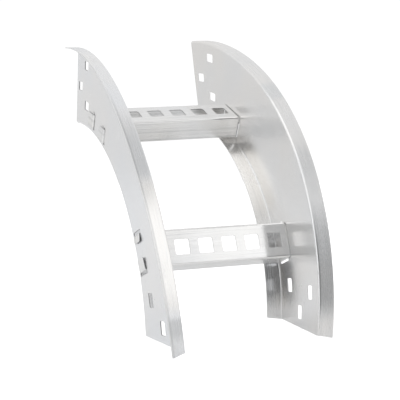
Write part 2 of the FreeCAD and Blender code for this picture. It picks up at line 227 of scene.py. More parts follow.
def floor():
    """Plain pale floor under the lower end."""
    size = 1.7
    z = CAD_BOX[0].z - 0.0003
    me = bpy.data.meshes.new("floor")
    ring = [(size * math.cos(2 * math.pi * k / 96), 0.15 + size * math.sin(2 * math.pi * k / 96), z) for k in range(96)]
    me.from_pydata(ring, [], [tuple(range(96))])
    me.update()
    ob = bpy.data.objects.new("floor", me)
    bpy.context.scene.collection.objects.link(ob)
    mat = bpy.data.materials.new("floor")
    mat.use_nodes = True
    t = Tree(mat.node_tree)
    t.n.clear()
    out = t.node("ShaderNodeOutputMaterial")
    dif = t.node("ShaderNodeBsdfDiffuse")
    dif.inputs["Color"].default_value = (0.86, 0.86, 0.86, 1)
    emi = t.node("ShaderNodeEmission")
    emi.inputs["Color"].default_value = (1, 1, 1, 1)
    path = t.node("ShaderNodeLightPath")
    t.l.new(t.math("MULTIPLY_ADD", path.outputs["Is Camera Ray"], 0.55, 0.075), emi.inputs["Strength"])
    add = t.node("ShaderNodeAddShader")
    t.l.new(dif.outputs[0], add.inputs[0])
    t.l.new(emi.outputs[0], add.inputs[1])
    t.l.new(add.outputs[0], out.inputs["Surface"])
    me.materials.append(mat)
    return ob


floor()

scene = bpy.context.scene
scene.view_settings.view_transform = "Standard"
scene.view_settings.look = "None"

# --------------------------------------------------------------- dimensions
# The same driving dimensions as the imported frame, in millimetres and radians.
RI = 262.5
YC = 317.5
HEIGHT = 110.0
HALF = 100.0
SHEET = 1.5
T2 = SHEET / 2.0
BEND_IN = 2.0
RM = BEND_IN + T2
ARC = math.pi / 2.0
END_RISE = {"right": 7.5, "left": 0.0}
END_LEAN = {"right": 0.042, "left": 0.0}
END_TILT = {"right": -0.24, "left": -0.19}
DRIFT_FOOT = {"right": 0.0, "left": 3.2}
DRIFT_LEAN = {"right": 0.0, "left": 0.029}
PAIR_OUT = {"right": 3.4, "left": 2.2}
RUNG_ANGLE = {"upper": math.radians(22.3), "lower": math.radians(67.8)}
RUNG_SKEW = {"upper": 0.0, "lower": 0.020}
TAB_REACH = {"upper": (17.5, 17.5), "lower": (11.5, 17.5)}
TAB_FOLDS = {"upper": (-1, -1), "lower": (1, -1)}
TAB_LOW, TAB_HIGH = 7.0, 27.5
TAB_LIFT = math.radians(5.0)
TAB_IN = 0.9
SLIT_LOW, SLIT_HIGH = 6.2, 29.8
SLIT_TIGHT = 0.70
SLIT_SLACK = {"right": 2.7, "left": 4.4}
RUNG_W = 49.0
RUNG_D = 31.0
BED = 37.5
RUNG_END = 98.3
R0 = YC


def bow(phi):
    return ((phi - ARC / 2) / (ARC / 2)) ** 2


def upper_end(phi):
    u = phi / math.radians(28.0)
    return np.where(np.abs(u) < 1.0, (1.0 - u * u) ** 2, 0.0)


def lean(phi, side):
    return -0.040 + 0.096 * bow(phi) + END_LEAN[side] * upper_end(phi) + DRIFT_LEAN[side] * phi / ARC


def foot(phi, side):
    return HALF - 2.7 * bow(phi) + DRIFT_FOOT[side] * phi / ARC


def rise(phi, side):
    """The pressed end stands a little lower than the plain curve gives."""
    phi = np.asarray(phi, float)
    t = np.clip((phi + 0.02) / 0.15, 0.0, 1.0)
    return END_RISE[side] * (upper_end(phi) - 0.060 * (1.0 - t * t * (3.0 - 2.0 * t)))


def web_outer(phi, height, side):
    a = lean(phi, side)
    return foot(phi, side) - (height - rise(phi, side)) * np.tan(a) + SHEET / np.cos(a)


# ------------------------------------------------------------ smooth noise
class Field:
    """Seeded smooth noise over a plane, about -1 to 1."""

    def __init__(self, seed):
        self.table = np.random.RandomState(seed).rand(256, 256) * 2.0 - 1.0

    def __call__(self, u, v):
        i = np.floor(u).astype(int)
        j = np.floor(v).astype(int)
        a = u - i
        b = v - j
        a = a * a * a * (a * (a * 6 - 15) + 10)
        b = b * b * b * (b * (b * 6 - 15) + 10)
        t = self.table
        i0, j0, i1, j1 = i % 256, j % 256, (i + 1) % 256, (j + 1) % 256
        low = t[i0, j0] * (1 - a) + t[i1, j0] * a
        top = t[i0, j1] * (1 - a) + t[i1, j1] * a
        return low * (1 - b) + top * b


def smooth(x, a, b):
    t = np.clip((x - a) / (b - a), 0.0, 1.0)
    return t * t * (3.0 - 2.0 * t)


# ------------------------------------------------------- one folded sheet
def resample(points, step):
    """Closed outline with no segment longer than step."""
    out = []
    n = len(points)
    for i in range(n):
        p = np.array(points[i], float)
        q = np.array(points[(i + 1) % n], float)
        k = max(1, int(math.ceil(np.linalg.norm(q - p) / step)))
        for j in range(k):
            out.append(p + (q - p) * j / k)
    return np.array(out)


def rounded_rect(w, h, r, seg=6):
    """Rounded rectangle about the origin, anticlockwise."""
    out = []
    for cx, cy, a0 in ((w / 2 - r, h / 2 - r, 0), (-w / 2 + r, h / 2 - r, 90),
                       (-w / 2 + r, -h / 2 + r, 180), (w / 2 - r, -h / 2 + r, 270)):
        for k in range(seg + 1):
            a = math.radians(a0 + 90.0 * k / seg)
            out.append((cx + r * math.cos(a), cy + r * math.sin(a)))
    return np.array(out)


def area2(p):
    x, y = p[:, 0], p[:, 1]
    return 0.5 * np.sum(x * np.roll(y, -1) - np.roll(x, -1) * y)


def inside(points, loop):
    """Even-odd test of many points against one closed outline."""
    x, y = points[:, 0], points[:, 1]
    res = np.zeros(len(points), bool)
    a = loop
    b = np.roll(loop, -1, axis=0)
    for (x0, y0), (x1, y1) in zip(a, b):
        if y0 == y1:
            continue
        hit = ((y0 > y) != (y1 > y)) & (x < (x1 - x0) * (y - y0) / (y1 - y0) + x0)
        res ^= hit
    return res


def distance(points, loop):
    """Distance of many points to one closed outline."""
    best = np.full(len(points), 1e9)
    a = loop
    b = np.roll(loop, -1, axis=0)
    for p, q in zip(a, b):
        d = q - p
        s = np.clip(((points - p) @ d) / max(d @ d, 1e-12), 0.0, 1.0)
        e = points - (p + s[:, None] * d)
        best = np.minimum(best, np.einsum("ij,ij->i", e, e))
    return np.sqrt(best)


ROUND = 0.24     # how far the rounded edge reaches into each face


class Sheet:
    """A folded, curved sheet drawn flat: an outline with holes in (u, v), and a
    function that takes (u, v) to the middle of the folded sheet."""

    def __init__(self, mid, bumps, outline, holes, grid, turned, tear_and_shade):
        self.mid = mid
        self.tear_and_shade = tear_and_shade
        self.bumps = bumps
        self.turned = turned
        loops = [outline if area2(outline) > 0 else outline[::-1]]
        loops += [h if area2(h) < 0 else h[::-1] for h in holes]
        self.loops = loops
        self.grid = grid

    def surf(self, u, v):
        h = 0.01
        du = self.mid(u + h, v) - self.mid(u - h, v)
        dv = self.mid(u, v + h) - self.mid(u, v - h)
        n = np.cross(du, dv)
        n /= np.linalg.norm(n, axis=1)[:, None]
        return self.mid(u, v) + self.bumps(u, v)[:, None] * n

    def full(self, u, v):
        h = 0.05
        du = (self.surf(u + h, v) - self.surf(u - h, v)) / (2 * h)
        dv = (self.surf(u, v + h) - self.surf(u, v - h)) / (2 * h)
        n = np.cross(du, dv)
        n /= np.linalg.norm(n, axis=1)[:, None]
        return self.surf(u, v), n, du, dv

    def inward(self, loop):
        """Per outline point: unit step into the metal, in (u, v) and in space."""
        u, v = loop[:, 0], loop[:, 1]
        p, n, du, dv = self.full(u, v)
        su = np.linalg.norm(du, axis=1)
        sv = np.linalg.norm(dv, axis=1)
        prev = np.roll(loop, 1, axis=0)
        nxt = np.roll(loop, -1, axis=0)

        def left(e):
            e = e * np.stack([su, sv], 1)
            m = np.stack([-e[:, 1], e[:, 0]], 1)
            return m / np.linalg.norm(m, axis=1)[:, None]
        a = left(loop - prev)
        b = left(nxt - loop)
        m = (a + b) / np.maximum(1.0 + np.einsum("ij,ij->i", a, b), 0.35)[:, None]
        flat = m / np.stack([su, sv], 1)
        step = du * flat[:, :1] + dv * flat[:, 1:]
        unit = step / np.linalg.norm(step, axis=1)[:, None]
        return flat, unit

    def build(self, name):
        loops = self.loops
        flats, units = zip(*[self.inward(l) for l in loops])
        ring0 = [l + ROUND * f for l, f in zip(loops, flats)]
        g = self.grid
        keep = inside(g, ring0[0])
        for l in ring0[1:]:
            lo, hi = l.min(0) - 1.5, l.max(0) + 1.5
            near = np.all((g > lo) & (g < hi), axis=1) & keep
            idx = np.nonzero(near)[0]
            if len(idx):
                keep[idx[inside(g[idx], l)]] = False
        g = g[keep]
        gap = distance(g, ring0[0])
        for l in ring0[1:]:
            lo, hi = l.min(0) - 12.0, l.max(0) + 12.0
            idx = np.nonzero(np.all((g > lo) & (g < hi), axis=1))[0]
            if len(idx):
                gap[idx] = np.minimum(gap[idx], distance(g[idx], l))
        ok = gap > 0.55
        g, gap = g[ok], gap[ok]

        flat = np.concatenate(ring0 + [g])
        edges = []
        start = 0
        for l in ring0:
            n = len(l)
            edges += [(start + i, start + (i + 1) % n) for i in range(n)]
            start += n
        border = start
        res = delaunay_2d_cdt([Vector(p) for p in flat.tolist()], edges, [], 1, 1e-7, True)
        verts2, tris = res[0], res[2]
        if len(verts2) != len(flat):
            raise ValueError("%s: outline points met (%d, %d)" % (name, len(verts2), len(flat)))
        flat = np.array([(p[0], p[1]) for p in verts2])
        tris = np.array([t for t in tris if len(t) == 3])
        cen = flat[tris].mean(axis=1)
        good = inside(cen, flat[:len(ring0[0])])
        start = len(ring0[0])
        for l in ring0[1:]:
            good &= ~inside(cen, flat[start:start + len(l)])
            start += len(l)
        tris = tris[good]
        a, b, c = flat[tris[:, 0]], flat[tris[:, 1]], flat[tris[:, 2]]
        sign = (b[:, 0] - a[:, 0]) * (c[:, 1] - a[:, 1]) - (b[:, 1] - a[:, 1]) * (c[:, 0] - a[:, 0])
        tris[sign < 0] = tris[sign < 0][:, ::-1]

        u, v = flat[:, 0], flat[:, 1]
        p, n, du, dv = self.full(u, v)
        m = len(flat)
        pos = [p + T2 * n, p - T2 * n]
        nor = [n, -n]
        uv = [flat, flat]
        wall = [np.zeros(m), np.zeros(m)]
        torn_and_shaded_wall = [np.zeros(m), np.zeros(m)]
        edge = np.concatenate([np.ones(border), np.exp(-gap / 1.6)])
        edges_at = [edge, edge]
        faces = [tuple(t) for t in tris.tolist()]
        faces += [(c + m, b + m, a + m) for a, b, c in tris.tolist()]

        # cut edge, from the +n face to the -n face: a small burr side with a
        # tapering torn zone, a straight sheared zone, then a rolled-in side
        burr, taper, roll = 0.14, 0.10, 0.24
        c45 = math.cos(math.radians(45.0))
        prof = [(burr * (1 - c45) + taper, T2 - burr * (1 - c45), 45.0, 1.0, 0.8),
                (taper, T2 - burr, 90.0, 1.0, 1.0),
                (0.02, -T2 + 0.66, 92.0, 1.0, 1.0),
                (0.0, -T2 + 0.56, 90.0, 1.0, 0.0),
                (0.0, -T2 + roll, 90.0, 1.0, 0.0),
                (roll * (1 - c45), -T2 + roll * (1 - c45), 135.0, 0.6, 0.0)]
        if self.turned:
            prof = [(i, -h, 180.0 - ang, w, f) for i, h, ang, w, f in prof[::-1]]
        base = 2 * m
        first = 0
        for index, (l, unit) in enumerate(zip(loops, units)):
            k = len(l)
            q, nn, _, _ = self.full(l[:, 0], l[:, 1])
            tear_and_shade = self.tear_and_shade(l[:, 0], index > 0)
            rows = []
            for inset, height, ang, w, fr in prof:
                th = math.radians(ang)
                pos.append(q + inset * unit + height * nn)
                nor.append(math.cos(th) * nn - math.sin(th) * unit)
                uv.append(l)
                wall.append(np.full(k, w))
                torn_and_shaded_wall.append(fr * tear_and_shade)
                edges_at.append(np.ones(k))
                rows.append(base + np.arange(k))
                base += k
            chain = [first + np.arange(k)] + rows + [m + first + np.arange(k)]
            for r0, r1 in zip(chain[:-1], chain[1:]):
                r0n, r1n = np.roll(r0, -1), np.roll(r1, -1)
                faces += [(int(w), int(x), int(y), int(z)) for w, x, y, z in zip(r0n, r0, r1, r1n)]
            first += k

        pos = np.concatenate(pos) / 1000.0
        nor = np.concatenate(nor)
        uv = np.concatenate(uv) / 100.0
        me = bpy.data.meshes.new(name)
        me.from_pydata(pos.tolist(), [], faces)
        me.update()
        loops_n = len(me.loops)
        vi = np.empty(loops_n, np.int32)
        me.loops.foreach_get("vertex_index", vi)
        layer = me.uv_layers.new(name="UVMap")
        layer.data.foreach_set("uv", uv[vi].astype(np.float32).ravel())
        for key, parts in (("wall", wall), ("torn", torn_and_shaded_wall), ("edge", edges_at)):
            at = me.attributes.new(key, "FLOAT", "POINT")
            at.data.foreach_set("value", np.concatenate(parts).astype(np.float32))
        me.polygons.foreach_set("use_smooth", np.ones(len(me.polygons), bool))
        me.normals_split_custom_set_from_vertices(nor.tolist())
        me.update()
        ob = bpy.data.objects.new(name, me)
        bpy.context.scene.collection.objects.link(ob)
        return ob


# ------------------------------------------------------------------- rails
RAIL_PARTS = np.array([19.7, 4.3, 103.3, 4.0, 18.2])
RAIL_KNOTS = np.concatenate([[0.0], np.cumsum(RAIL_PARTS)])
RAIL_WIDTH = RAIL_KNOTS[-1]


def cross_lines(p, d, q, e):
    det = d[0] * e[1] - d[1] * e[0]
    s = ((q[0] - p[0]) * e[1] - (q[1] - p[1]) * e[0]) / det
    return np.array([p[0] + s * d[0], p[1] + s * d[1]])


def rail_frame(phi, side):
    """Corners and bends of the sheet's middle line in (r, x), per angle."""
    phi = np.asarray(phi, float)
    a = lean(phi, side)
    ao = a + 0.15 + END_TILT[side] * upper_end(phi)
    ai = a - 0.05
    base = foot(phi, side)
    wd = np.array([np.cos(a), -np.sin(a)])
    wn = np.array([np.sin(a), np.cos(a)])
    od = np.array([np.sin(ao), np.cos(ao)])
    on = np.array([-np.cos(ao), np.sin(ao)])
    di = np.array([-np.sin(ai), -np.cos(ai)])
    inn = np.array([np.cos(ai), -np.sin(ai)])
    corner = np.array([np.full_like(a, RI), base])
    web_p = corner + T2 * wn
    top_p = corner + HEIGHT * wd + T2 * on
    low_p = corner + T2 * inn
    m1 = cross_lines(low_p, di, web_p, wd)
    m2 = cross_lines(web_p, wd, top_p, od)
    m0 = low_p + 22.5 * di
    m3 = top_p + 20.5 * od
    out = {"m0": m0, "m3": m3, "up": rise(phi, side)}
    for i, (p, c, q) in enumerate(((m0, m1, m2), (m1, m2, m3))):
        s = (c - p) / np.hypot(*(c - p))
        w = (q - c) / np.hypot(*(q - c))
        turn = np.arctan2(s[0] * w[1] - s[1] * w[0], s[0] * w[0] + s[1] * w[1])
        tl = RM * np.tan(np.abs(turn) / 2.0)
        start = c - tl * s
        side_n = np.where(turn > 0, 1.0, -1.0) * np.array([-s[1], s[0]])
        out[i] = (start, start + RM * side_n, turn, c + tl * w)
    return out


def turned_by(v, ang):
    c, s = np.cos(ang), np.sin(ang)
    return np.array([v[0] * c - v[1] * s, v[0] * s + v[1] * c])


def rail_mid_rx(phi, v, side):
    f = rail_frame(phi, side)
    s1, c1, t1, e1 = f[0]
    s2, c2, t2, e2 = f[1]
    k = np.clip(np.searchsorted(RAIL_KNOTS, v, side="right") - 1, 0, 4)
    w = (v - RAIL_KNOTS[k]) / RAIL_PARTS[k]
    parts = [f["m0"] + w * (s1 - f["m0"]),
             c1 + turned_by(s1 - c1, t1 * w),
             e1 + w * (s2 - e1),
             c2 + turned_by(s2 - c2, t2 * w),
             e2 + w * (f["m3"] - e2)]
    rx = np.zeros_like(parts[0])
    for i in range(5):
        rx = np.where(k == i, parts[i], rx)
    return rx[0] + f["up"], rx[1]


def rail_mid(side):
    sg = 1.0 if side == "right" else -1.0

    def mid(u, v):
        phi = u / R0
        r, x = rail_mid_rx(phi, v, side)
        return np.stack([sg * x, YC - r * np.sin(phi), r * np.cos(phi)], 1)
    return mid


def rail_end(v, side, lower):
    """u of the cut end under each v."""
    phi0 = ARC if lower else 0.0
    phi = np.full_like(v, phi0)
    x_low = float(foot(np.array(phi0), side))
    x_top = x_low - HEIGHT * math.sin(float(lean(np.array(phi0), side)))
    for _ in range(3):
        r, x = rail_mid_rx(phi, v, side)
        cut = np.interp(x, [x_low - 45.0, x_low - 24.75, x_low - 1.0], [4.7, 4.7, 0.0])
        run = np.interp(x, [x_top + 3.0, x_top + 20.5, x_top + 41.0], [0.0, -4.4 * 0.93, -4.4])
        z = np.where(v > RAIL_KNOTS[3], run, np.where(v < RAIL_KNOTS[2], cut, 0.0))
        phi = np.arccos(z / r) if lower else np.arcsin(z / r)
    return phi * R0


def rail_v(phi, r, side):
    """v on the web for a radius."""
    f = rail_frame(phi, side)
    e1, s2 = f[0][3], f[1][0]
    w = (r - f["up"] - e1[0]) / (s2[0] - e1[0])
    return RAIL_KNOTS[2] + w * RAIL_PARTS[2]


def polar_loop(shape, phi_c, r_c, side):
    """An outline given as (towards +phi, outwards) about a point of the web."""
    t, h = shape[:, 0], shape[:, 1]
    r = np.hypot(r_c + h, t)
    phi = phi_c + np.arctan2(t, r_c + h)
    return np.stack([phi * R0, rail_v(phi, r, side)], 1)


def rail_sheet(side, seed):
    rnd = np.random.RandomState(seed)
    slow, ripple, fine, lip = Field(seed), Field(seed + 1), Field(seed + 2), Field(seed + 3)
    slit_at = [(RUNG_ANGLE[n] * R0, RAIL_KNOTS[2] + 16.0) for n in ("upper", "lower")]

    def bumps(u, v):
        quiet = np.ones_like(u)
        for cu, cv in slit_at:
            d = np.hypot((u - cu) / 58.0, (v - cv) / 34.0)
            quiet = quiet * smooth(d, 0.8, 1.5)
        web = 0.13 * slow(u / 110.0 + 3.1, v / 60.0 + 1.7) * quiet
        outer = smooth(v, RAIL_KNOTS[3], RAIL_KNOTS[4] + 5.0)
        inner = smooth(v, RAIL_KNOTS[1], RAIL_KNOTS[1] - 6.0)
        rip = 0.070 * ripple(u / 38.0, v / 12.0) + 0.014 * fine(u / 44.0, v / 6.5)
        return web + rip * (outer + 0.8 * inner)

    # outline: concave free edge, lower end, convex free edge, upper end
    def edge_v(u, at, inward, seedshift):
        wave = 0.5 + 0.5 * lip(u / 9.0 + seedshift, np.full_like(u, 0.3))
        nick = np.zeros_like(u)
        for c in rnd.uniform(10.0, 490.0, 7):
            nick = np.maximum(nick, 0.22 * np.exp(-((u - c) / 0.9) ** 2))
        return at + inward * (0.10 * wave + nick)

    v_end = np.unique(np.concatenate([
        np.linspace(0.0, RAIL_KNOTS[1], 14), np.linspace(RAIL_KNOTS[1], RAIL_KNOTS[2], 7),
        np.linspace(RAIL_KNOTS[2], RAIL_KNOTS[3], 53), np.linspace(RAIL_KNOTS[3], RAIL_KNOTS[4], 7),
        np.linspace(RAIL_KNOTS[4], RAIL_WIDTH, 15)]).round(6))
    ends = {}
    for lower in (False, True):
        ue = rail_end(v_end, side, lower)
        ragged = 0.05 + 0.05 * lip(v_end / 1.3, np.full_like(v_end, 5.0))
        torn = smooth(v_end, RAIL_KNOTS[4], RAIL_WIDTH) * (0.28 + 0.28 * lip(v_end / 1.6, np.full_like(v_end, 9.0)))
        amount = ragged + (torn if lower else 0.3 * torn)
        ends[lower] = ue + (-amount if lower else amount)
    du = 2.4
    pts = []

    def lap(lo, hi):
        n = int(round((hi - lo) / du))
        return np.linspace(lo, hi, n + 1)[1:-1]
    lo0, hi0 = ends[False][0], ends[True][0]
    lo1, hi1 = ends[False][-1], ends[True][-1]
    a = lap(lo0, hi0)
    low_edge = np.stack([a, edge_v(a, 0.0, 1.0, 0.0)], 1)
    b = lap(lo1, hi1)[::-1]
    top_edge = np.stack([b, edge_v(b, RAIL_WIDTH, -1.0, 40.0)], 1)

    def rounded_corner(corner, before, after, r=0.8, seg=4):
        corner = np.array(corner, float)
        d0 = (np.array(before) - corner)
        d0 = d0 / np.linalg.norm(d0)
        d1 = (np.array(after) - corner)
        d1 = d1 / np.linalg.norm(d1)
        out = []
        for k in range(seg + 1):
            s = k / seg
            out.append((1 - s) ** 2 * (corner + r * d0) + 2 * s * (1 - s) * corner + s ** 2 * (corner + r * d1))
        return np.array(out)
    right_end = np.stack([ends[True], v_end], 1)
    left_end = np.stack([ends[False], v_end], 1)[::-1]
    outline = np.concatenate([
        rounded_corner(left_end[-1], left_end[-2], low_edge[0]), low_edge,
        rounded_corner(right_end[0], low_edge[-1], right_end[1]), right_end[1:-1],
        rounded_corner(right_end[-1], right_end[-2], top_edge[0]), top_edge,
        rounded_corner(left_end[0], top_edge[-1], left_end[1]), left_end[1:-1]])

    holes = []
    slot = resample(rounded_rect(18.0, 12.0, 1.8), 2.0)
    for height, dist in ((55.0, 20.0), (28.5, 51.0), (84.5, 51.0)):
        r = RI + height
        out = PAIR_OUT[side] if dist > 30.0 else 0.0
        for phi, more in ((dist / r, out), (ARC - dist / r, 0.0)):
            up = float(rise(np.array(phi), side))
            holes.append(polar_loop(slot, phi, r + more + up, side))
    for name in ("upper", "lower"):
        s = RUNG_SKEW[name] * (1.0 if side == "right" else -1.0)
        for w, fold in zip((-1, 1), TAB_FOLDS[name]):
            outer = w * RUNG_W / 2.0
            lo, hi = sorted((outer, outer - w * SHEET))
            if fold < 0:
                lo, hi = lo - SLIT_TIGHT, hi + SLIT_SLACK[side]
            else:
                lo, hi = lo - SLIT_SLACK[side], hi + SLIT_TIGHT
            shape = resample(rounded_rect(hi - lo, SLIT_HIGH - SLIT_LOW, 0.8, 4), 2.0)
            t = (shape[:, 0] + (lo + hi) / 2.0) * math.cos(s) + HALF * math.sin(s)
            h = shape[:, 1] + (SLIT_HIGH + SLIT_LOW) / 2.0
            holes.append(polar_loop(np.stack([t, h], 1), RUNG_ANGLE[name], RI, side))

    rows = np.unique(np.concatenate([
        np.linspace(0.0, RAIL_KNOTS[1], 12), np.linspace(RAIL_KNOTS[1], RAIL_KNOTS[2], 8),
        np.linspace(RAIL_KNOTS[2], RAIL_KNOTS[3], 46), np.linspace(RAIL_KNOTS[3], RAIL_KNOTS[4], 8),
        np.linspace(RAIL_KNOTS[4], RAIL_WIDTH, 12)]).round(6))
    cols = np.linspace(-6.0, ARC * R0 + 6.0, 214)
    gu, gv = np.meshgrid(cols, rows)
    grid = np.stack([gu.ravel(), gv.ravel()], 1)
    def tear_and_shade(u, punched):
        """The outline is cut clean; hole walls are dark, torn metal with painted shade, except the right rail's
        coupling slots near the ends, which stay lighter.
        """
        if not punched:
            return np.full(len(u), 0.12)
        near_end = min(abs(u.mean()), abs(ARC * R0 - u.mean())) < 70.0
        return np.full(len(u), 0.25 if near_end and side == "right" else 1.0)
    return Sheet(rail_mid(side), bumps, outline, holes, grid, side == "right", tear_and_shade)


# ------------------------------------------------------------------- rungs
WALL = RUNG_D - T2 - RM
BEND = RM * ARC
FLAT = RUNG_W - 2 * T2 - 2 * RM
RUNG_KNOTS = np.cumsum([0.0, WALL, BEND, FLAT, BEND, WALL])
RUNG_WIDTH_V = RUNG_KNOTS[-1]
LOW = BED - RUNG_D


def tab_bend(name, w, fold, reach, side):
    """Where a tab's fold starts, along the rung."""
    phi = RUNG_ANGLE[name]
    s = RUNG_SKEW[name] * (1.0 if side == "right" else -1.0)
    outer = w * RUNG_W / 2.0
    lo, hi = sorted((outer, outer - w * SHEET))
    far = 0.0
    for h in (TAB_LOW, TAB_HIGH):
        for reach_at in (0.0, reach):
            along = (lo if fold < 0 else hi) + fold * reach_at
            tang = along * math.cos(s) + HALF * math.sin(s)
            r = math.hypot(RI + h, tang)
            ph = np.array(phi + math.atan2(tang, RI + h))
            web = (float(web_outer(ph, r - RI, side)) + along * math.sin(s)) / math.cos(s)
            far = max(far, web - reach_at * math.tan(TAB_LIFT))
    return far + 0.08 - TAB_IN


def rung_mid(name):
    phi = RUNG_ANGLE[name]
    skew = RUNG_SKEW[name]
    bends = {(w, side): tab_bend(name, w, fold, reach, side)
             for w, fold, reach in zip((-1, 1), TAB_FOLDS[name], TAB_REACH[name])
             for side in ("right", "left")}
    rt = TAB_IN + T2
    turn = ARC - TAB_LIFT

    def mid(u, v):
        k = np.clip(np.searchsorted(RUNG_KNOTS, v, side="right") - 1, 0, 4)
        s = v - RUNG_KNOTS[k]
        tw = RUNG_W / 2.0 - T2
        top = BED - T2 - RM
        t = np.zeros_like(u)
        h = np.zeros_like(u)
        m = k == 0
        t[m], h[m] = -tw, LOW + s[m]
        m = k == 1
        a = s[m] / RM
        t[m], h[m] = -tw + RM - RM * np.cos(a), top + RM * np.sin(a)
        m = k == 2
        t[m], h[m] = -tw + RM + s[m], BED - T2
        m = k == 3
        a = s[m] / RM
        t[m], h[m] = tw - RM + RM * np.sin(a), top + RM * np.cos(a)
        m = k == 4
        t[m], h[m] = tw, top - s[m]
        x = u.copy()
        for w, fold in zip((-1, 1), TAB_FOLDS[name]):
            for side, sg in (("right", 1.0), ("left", -1.0)):
                b = bends[(w, side)]
                q = sg * u - b
                m = (k == (0 if w < 0 else 4)) & (q > 0.0)
                a = np.minimum(q / rt, turn)
                flat = np.maximum(q - rt * turn, 0.0)
                xx = b + rt * np.sin(a) + flat * np.cos(turn)
                tt = rt * (1 - np.cos(a)) + flat * np.sin(turn)
                x = np.where(m, sg * xx, x)
                t = np.where(m, t + fold * tt, t)
        big_x = x * math.cos(skew) - t * math.sin(skew)
        tang = x * math.sin(skew) + t * math.cos(skew)
        r = RI + h
        return np.stack([big_x, YC - r * math.sin(phi) - tang * math.cos(phi),
                         r * math.cos(phi) - tang * math.sin(phi)], 1)
    return mid, bends, rt * turn


def rung_sheet(name, seed):
    mid, bends, fold_len = rung_mid(name)
    slow, dent, lip = Field(seed), Field(seed + 1), Field(seed + 2)

    def bumps(u, v):
        bend = np.minimum(np.abs(v - RUNG_KNOTS[1] - BEND / 2), np.abs(v - RUNG_KNOTS[3] - BEND / 2))
        body = 0.045 * slow(u / 60.0, v / 21.0) * smooth(RUNG_END - np.abs(u), 0.0, 12.0) * smooth(bend, 2.0, 9.0)
        past = smooth(np.abs(u), 105.5, 112.0)
        return body + past * (0.07 * dent(u / 4.2, v / 4.6) + 0.03 * slow(u / 1.9, v / 1.9))

    def tab_points(w, side):
        """Outline of one tab, from its low side to its high side, u positive."""
        reach = TAB_REACH[name][0 if w < 0 else 1]
        end = bends[(w, side)] + fold_len + reach - (TAB_IN + SHEET)
        lo, hi = TAB_LOW - LOW, TAB_HIGH - LOW
        pts = [(RUNG_END, lo)]
        c = 3.5
        for k in range(7):
            a = math.radians(-90.0 + 15.0 * k)
            pts.append((end - c + c * math.cos(a), lo + c + c * math.sin(a)))
        for k in range(7):
            a = math.radians(15.0 * k)
            pts.append((end - c + c * math.cos(a), hi - c + c * math.sin(a)))
        pts.append((RUNG_END, hi))
        return np.array(pts)

    W = RUNG_WIDTH_V
    parts = [np.array([(-RUNG_END, 0.0), (RUNG_END, 0.0)])]
    parts.append(tab_points(-1, "right"))
    t = tab_points(1, "right")[::-1].copy()
    t[:, 1] = W - t[:, 1]
    parts.append(t)
    parts.append(np.array([(RUNG_END, W), (-RUNG_END, W)]))
    t = tab_points(1, "left").copy()
    t[:, 0] *= -1
    t[:, 1] = W - t[:, 1]
    parts.append(t)
    t = tab_points(-1, "left")[::-1].copy()
    t[:, 0] *= -1
    parts.append(t)
    outline = resample(np.concatenate(parts), 1.6)
    # free edges aren't quite straight
    lowm = outline[:, 1] < 1e-6
    topm = outline[:, 1] > W - 1e-6
    wave = 0.04 + 0.04 * lip(outline[:, 0] / 11.0, np.zeros(len(outline)))
    keep = smooth(RUNG_END - np.abs(outline[:, 0]), 0.0, 6.0)
    outline[lowm, 1] += (wave * keep)[lowm]
    outline[topm, 1] -= (wave * keep)[topm]

    square = resample(rounded_rect(20.0, 20.0, 2.6, 7), 1.7)
    holes = [square + np.array([-33.3 * 2.5 - 2.7 + 33.3 * k, W / 2.0]) for k in range(6)]
    rows = np.unique(np.concatenate([
        np.linspace(0.0, RUNG_KNOTS[1], 17), np.linspace(RUNG_KNOTS[1], RUNG_KNOTS[2], 8),
        np.linspace(RUNG_KNOTS[2], RUNG_KNOTS[3], 25), np.linspace(RUNG_KNOTS[3], RUNG_KNOTS[4], 8),
        np.linspace(RUNG_KNOTS[4], RUNG_KNOTS[5], 17)]).round(6))
    inner = np.linspace(-97.0, 97.0, 112)
    ends = np.concatenate([np.arange(97.8, 122.5, 0.62), -np.arange(97.8, 122.5, 0.62)])
    gu, gv = np.meshgrid(inner, rows)
    grid = np.stack([gu.ravel(), gv.ravel()], 1)
    tab_rows = np.concatenate([np.linspace(1.2, 20.3, 22), W - np.linspace(1.2, 20.3, 22)])
    eu, ev = np.meshgrid(ends, tab_rows)
    grid = np.concatenate([grid, np.stack([eu.ravel(), ev.ravel()], 1)])
    def tear_and_shade(u, punched):
        # perforation walls are darkened part way; the cut ends and tab edges go fully dark, a dark cut edge with
        # painted shadow of the gap at the web
        return np.full(len(u), 0.7) if punched else 0.15 + 0.85 * smooth(np.abs(u), 97.3, 98.1)
    return Sheet(mid, bumps, outline, holes, grid, False, tear_and_shade)


